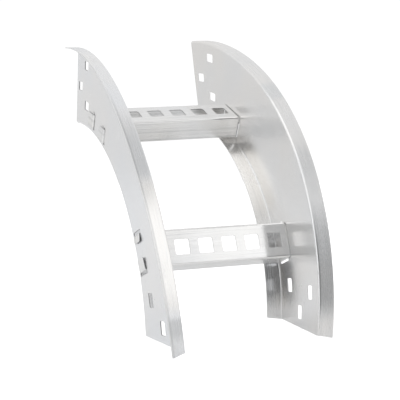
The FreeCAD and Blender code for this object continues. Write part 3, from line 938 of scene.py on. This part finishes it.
# ---------------------------------------------------------------- materials
def aluminium(name, kind, side, seed):
    """Mill-finish aluminium sheet: rolling streaks, soft mottling, fine
    scratches, worn edges and torn cut faces."""
    mat = bpy.data.materials.new(name)
    mat.use_nodes = True
    t = Tree(mat.node_tree)
    t.n.clear()
    out = t.node("ShaderNodeOutputMaterial")
    b = t.node("ShaderNodeBsdfPrincipled")
    t.l.new(b.outputs[0], out.inputs["Surface"])
    coord = t.node("ShaderNodeTexCoord")
    uvn = t.node("ShaderNodeUVMap", uv_map="UVMap")
    uv = uvn.outputs["UV"]
    obj = coord.outputs["Object"]
    sep = t.node("ShaderNodeSeparateXYZ")
    t.l.new(uv, sep.inputs[0])
    su, sv = sep.outputs[0], sep.outputs[1]

    mottle = t.noise(t.scaled(obj, (1, 1, 1), (seed, 0, 0)), 26.0, 3.0, 0.55)
    cloud = t.noise(t.scaled(obj, (1, 1, 1), (0, seed, 0)), 9.0, 2.0, 0.5)
    grain = t.noise(obj, 2600.0, 2.0, 0.6)
    # lines drawn along the sheet's length
    lines = t.noise(t.scaled(uv, (1.1, 95.0, 1.0), (seed, 0, 0)), 1.0, 4.0, 0.62)
    lines_wide = t.noise(t.scaled(uv, (0.5, 16.0, 1.0), (0, seed, 0)), 1.0, 2.0, 0.5)
    wall = t.attribute("wall")
    torn = t.attribute("torn")
    edge = t.attribute("edge")

    # broader streaks of the rolling, also along the sheet's length
    broad = t.noise(t.scaled(uv, (0.45, 34.0, 1.0), (seed, 3.0, 0)), 1.0, 3.0, 0.62)
    scuff = t.noise(t.scaled(uv, (9.0, 30.0, 1.0), (seed * 0.7, 2.0, 0)), 1.0, 5.0, 0.72)
    scuff = t.math("MULTIPLY", t.step(scuff, 0.60, 0.72), t.step(mottle, 0.46, 0.60))

    if kind == "rail":
        # web: faint rolling lines run straight across the blank, whatever its curve
        flat_lines = t.noise(t.scaled(t.scaled(obj, (1, 1, 1), (0, 0, 0), (math.radians(-38.0), 0, 0)),
                                      (900.0, 14.0, 900.0)), 1.0, 3.0, 0.6)
        k2, k3 = RAIL_KNOTS[2] / 100.0, RAIL_KNOTS[3] / 100.0
        web = t.band(sv, k2 - 0.02, k2 + 0.01, k3 - 0.01, k3 + 0.02)
        streak = t.blend(lines, flat_lines, web)
        calm = t.math("MULTIPLY_ADD", web, -0.72, 1.0)
        # painted light: the left rail's body colour is lighter and cooler than the right's, the same sheet shown as
        # more brightly lit
        body = {"right": (0.915, 0.91, 0.905), "left": (0.952, 0.957, 0.968)}[side]
        cool = tuple(0.985 * c * k for c, k in zip(body, (0.99, 1.0, 1.012))) + (1,)
        warm = tuple(c * k for c, k in zip(body, (1.012, 1.0, 0.985))) + (1,)
    else:
        streak = lines
        calm = t.math("MULTIPLY", 1.0, 1.0)
        cool = (0.945, 0.95, 0.955, 1)
        warm = (0.975, 0.965, 0.945, 1)

    # colour
    colour = t.tint(cool, warm, t.step(cloud, 0.28, 0.74))
    if kind == "rail":
        flange = t.step(sv, k3 - 0.01, k3 + 0.03)
        # painted reflection: lighter and darker bands along the convex flange stand in for what it reflects along its
        # length
        if side == "left":
            painted_reflection_bands = (((0.70, 0.725, 0.75), (2.20, 2.70, 3.02, 3.16), 0.50),
                     ((0.985, 0.97, 0.945), (3.05, 3.22, 4.45, 4.62), 0.85),
                     ((0.50, 0.51, 0.52), (4.57, 4.66, 4.74, 4.90), 0.52))
        else:
            painted_reflection_bands = (((0.66, 0.69, 0.72), (3.45, 3.85, 4.70, 4.88), 0.30),
                     ((0.70, 0.73, 0.75), (2.80, 2.98, 3.10, 3.26), 0.16),
                     ((0.72, 0.75, 0.77), (1.70, 1.85, 2.02, 2.12), 0.50))
        for tone, at, amount in painted_reflection_bands:
            colour = t.tint(colour, tone + (1,), t.math("MULTIPLY", t.math("MULTIPLY", t.band(su, *at), flange), amount))
        if side == "right":
            # painted reflection on the concave flange: a pale band above and a darker band lower down, standing in for
            # what it reflects
            within = t.step(sv, RAIL_KNOTS[2] / 100.0, RAIL_KNOTS[1] / 100.0)
            for tone, at, amount in (((0.99, 0.98, 0.96), (1.40, 1.90, 3.40, 3.62), 0.92),
                                     ((0.50, 0.53, 0.57), (3.66, 3.98, 4.44, 4.92), 0.55)):
                colour = t.tint(colour, tone + (1,), t.math("MULTIPLY", t.math("MULTIPLY", t.band(su, *at), within), amount))
            # the web beside the concave bend is a warmer grey halfway round
            warmer = t.band(sv, RAIL_KNOTS[2] / 100.0 - 0.01, RAIL_KNOTS[2] / 100.0 + 0.02, 0.36, 0.62)
            colour = t.tint(colour, (0.76, 0.735, 0.70, 1),
                            t.math("MULTIPLY", t.math("MULTIPLY", t.band(su, 1.75, 2.05, 3.0, 3.4), warmer), 0.62))
            # painted reflection: a pale strip of the web beside the concave bend
            painted_reflection_strip = t.band(sv, RAIL_KNOTS[2] / 100.0 - 0.02, RAIL_KNOTS[2] / 100.0 + 0.02, 0.32, 0.42)
            colour = t.tint(colour, (0.995, 0.97, 0.935, 1),
                            t.math("MULTIPLY", t.math("MULTIPLY", t.band(su, 3.62, 3.85, 4.60, 4.85), painted_reflection_strip), 0.95))
        else:
            # a dull line along the convex flange's free edge
            rim = t.band(sv, RAIL_WIDTH / 100.0 - 0.045, RAIL_WIDTH / 100.0 - 0.025,
                         RAIL_WIDTH / 100.0 - 0.006, RAIL_WIDTH / 100.0 + 0.001)
            colour = t.tint(colour, (0.58, 0.59, 0.60, 1), t.math("MULTIPLY", t.math("MULTIPLY", t.step(su, 1.6, 2.4), rim), 0.55))
        # soft blotches of a worn flange
        blotch = t.noise(t.scaled(uv, (3.2, 17.0, 1.0), (seed * 0.3, 1.0, 0)), 1.0, 3.0, 0.6)
        colour = t.tint(colour, (0.70, 0.71, 0.73, 1),
                        t.math("MULTIPLY", t.math("MULTIPLY", t.step(blotch, 0.50, 0.72), flange), 0.26))
    dull = t.math("MULTIPLY", calm, {"rail": 0.34, "rung": 0.66}[kind])
    if kind == "rail":
        # the streaks show more towards the lower end
        dull = t.math("MULTIPLY", dull, t.math("MULTIPLY_ADD", t.step(su, 2.2, 3.3), 0.65, 0.35))
    colour = t.tint(colour, (0.74, 0.74, 0.75, 1), t.math("MULTIPLY", t.step(streak, 0.52, 0.80), dull))
    colour = t.tint(colour, (0.76, 0.76, 0.77, 1), t.math("MULTIPLY", t.step(broad, 0.51, 0.74), dull))
    colour = t.tint(colour, (0.99, 0.99, 0.985, 1), t.math("MULTIPLY", t.step(broad, 0.48, 0.26), dull))
    if kind == "rung":
        # long dull lines on the two walls; along each bend a painted highlight line in the colour, with a slightly
        # smoother polish in the roughness
        k1, k2, k3, k4 = (RUNG_KNOTS[i] / 100.0 for i in (1, 2, 3, 4))
        long_lines = t.noise(t.scaled(uv, (0.10, 21.0, 1.0), (seed, 7.0, 0)), 1.0, 2.0, 0.55)
        walls = t.math("SUBTRACT", 1.0, t.band(sv, k1 - 0.005, k1 + 0.005, k4 - 0.005, k4 + 0.005))
        colour = t.tint(colour, (0.62, 0.625, 0.63, 1), t.math("MULTIPLY", t.math("MULTIPLY", t.step(long_lines, 0.49, 0.66), walls), 0.34))
        bends = t.math("ADD", t.band(sv, k1 - 0.004, k1 + 0.006, k2 - 0.006, k2 + 0.004),
                       t.band(sv, k3 - 0.004, k3 + 0.006, k4 - 0.006, k4 + 0.004), clamp=True)
        colour = t.tint(colour, (0.995, 0.99, 0.985, 1), t.math("MULTIPLY", bends, 0.85))
    # short dull scuffs
    colour = t.tint(colour, (0.76, 0.76, 0.76, 1), t.math("MULTIPLY", t.math("MULTIPLY", scuff, 0.35), calm))
    # hairline scratches in two directions
    hair = t.noise(t.scaled(t.scaled(obj, (1, 1, 1), (0.3, 0.2, seed), (0.9, 0.4, 0.2)), (30.0, 1500.0, 60.0)), 1.0, 2.0, 0.5)
    hair2 = t.noise(t.scaled(t.scaled(obj, (1, 1, 1), (0.1, seed, 0.5), (-0.5, 0.2, 1.0)), (1300.0, 24.0, 50.0)), 1.0, 2.0, 0.5)
    scratch = t.math("MAXIMUM", t.step(hair, 0.745, 0.775), t.step(hair2, 0.75, 0.78))
    scratch = t.math("MULTIPLY", scratch, t.step(cloud, 0.42, 0.58))
    colour = t.tint(colour, (0.995, 0.995, 0.99, 1), t.math("MULTIPLY", scratch, 0.6))
    # rubbed edges are a little brighter
    colour = t.tint(colour, (0.97, 0.97, 0.965, 1), t.math("MULTIPLY", t.step(edge, 0.55, 0.95), 0.6))
    if kind == "rail":
        # brownish specks near the lower end of the convex flange
        speck = t.noise(t.scaled(uv, (60.0, 60.0, 1.0), (seed, 0, 0)), 1.0, 2.0, 0.5)
        end_u = (ARC * R0) / 100.0
        near = t.math("MULTIPLY", t.step(su, end_u - 0.34, end_u - 0.06), flange)
        colour = t.tint(colour, (0.50, 0.44, 0.36, 1),
                        t.math("MULTIPLY", t.math("MULTIPLY", t.step(speck, 0.62, 0.70), near), 0.55))
    # cut faces: torn part dull and darker, sheared part bright; on the hole walls and rung ends this darkening is also
    # painted shade
    colour = t.tint(colour, (0.20, 0.20, 0.21, 1), t.math("MULTIPLY", torn, wall))
    t.l.new(colour, b.inputs["Base Color"])

    # roughness
    base_r = {"rail": 0.27, "rung": 0.205}[kind]
    rough = t.math("ADD", base_r - 0.06, t.math("MULTIPLY", mottle, 0.10))
    if kind == "rail":
        rough = t.math("SUBTRACT", rough, t.math("MULTIPLY", web, 0.02))
    rough = t.math("ADD", rough, t.math("MULTIPLY", t.math("MULTIPLY", t.math("SUBTRACT", streak, 0.5), 0.16), calm))
    if kind == "rung":
        rough = t.math("SUBTRACT", rough, t.math("MULTIPLY", bends, 0.04))
    rough = t.math("ADD", rough, t.math("MULTIPLY", scuff, 0.10))
    rough = t.blend(rough, 0.62, t.math("MULTIPLY", torn, wall))
    t.l.new(rough, b.inputs["Roughness"])
    b.inputs["Metallic"].default_value = 0.86 if kind == "rail" else 0.87
    b.inputs["Anisotropic"].default_value = 0.50 if kind == "rail" else 0.85
    b.inputs["Anisotropic Rotation"].default_value = 0.25
    tan = t.node("ShaderNodeTangent", direction_type="UV_MAP", uv_map="UVMap")
    t.l.new(tan.outputs[0], b.inputs["Tangent"])

    # relief
    h = t.math("ADD", t.math("MULTIPLY", streak, 0.55), t.math("MULTIPLY", grain, 0.35))
    h = t.math("ADD", h, t.math("MULTIPLY", broad, 1.5 if kind == "rung" else 0.8))
    h = t.math("MULTIPLY", t.math("ADD", h, t.math("MULTIPLY", lines_wide, 0.5)), calm)
    h = t.math("SUBTRACT", h, t.math("MULTIPLY", scratch, 0.5))
    h = t.math("ADD", h, t.math("MULTIPLY", t.math("MULTIPLY", grain, torn), 6.0))
    bump = t.node("ShaderNodeBump")
    bump.inputs["Strength"].default_value = 0.22 if kind == "rail" else 0.35
    bump.inputs["Distance"].default_value = 0.00003
    t.l.new(h, bump.inputs["Height"])
    t.l.new(bump.outputs[0], b.inputs["Normal"])
    return mat


# ------------------------------------------------------------------- pieces
def put(piece, node, mat):
    piece.data.materials.append(mat)
    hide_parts(node)
    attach(piece, "root")


for side, seed in (("right", 11), ("left", 29)):
    ob = rail_sheet(side, seed).build(side + "_rail_sheet")
    put(ob, side + "_side_rail", aluminium("aluminium_" + side + "_rail", "rail", side, seed * 1.37))
for name, seed in (("upper", 53), ("lower", 71)):
    ob = rung_sheet(name, seed).build(name + "_rung_sheet")
    put(ob, name + "_rung", aluminium("aluminium_" + name + "_rung", "rung", "", seed * 0.91))
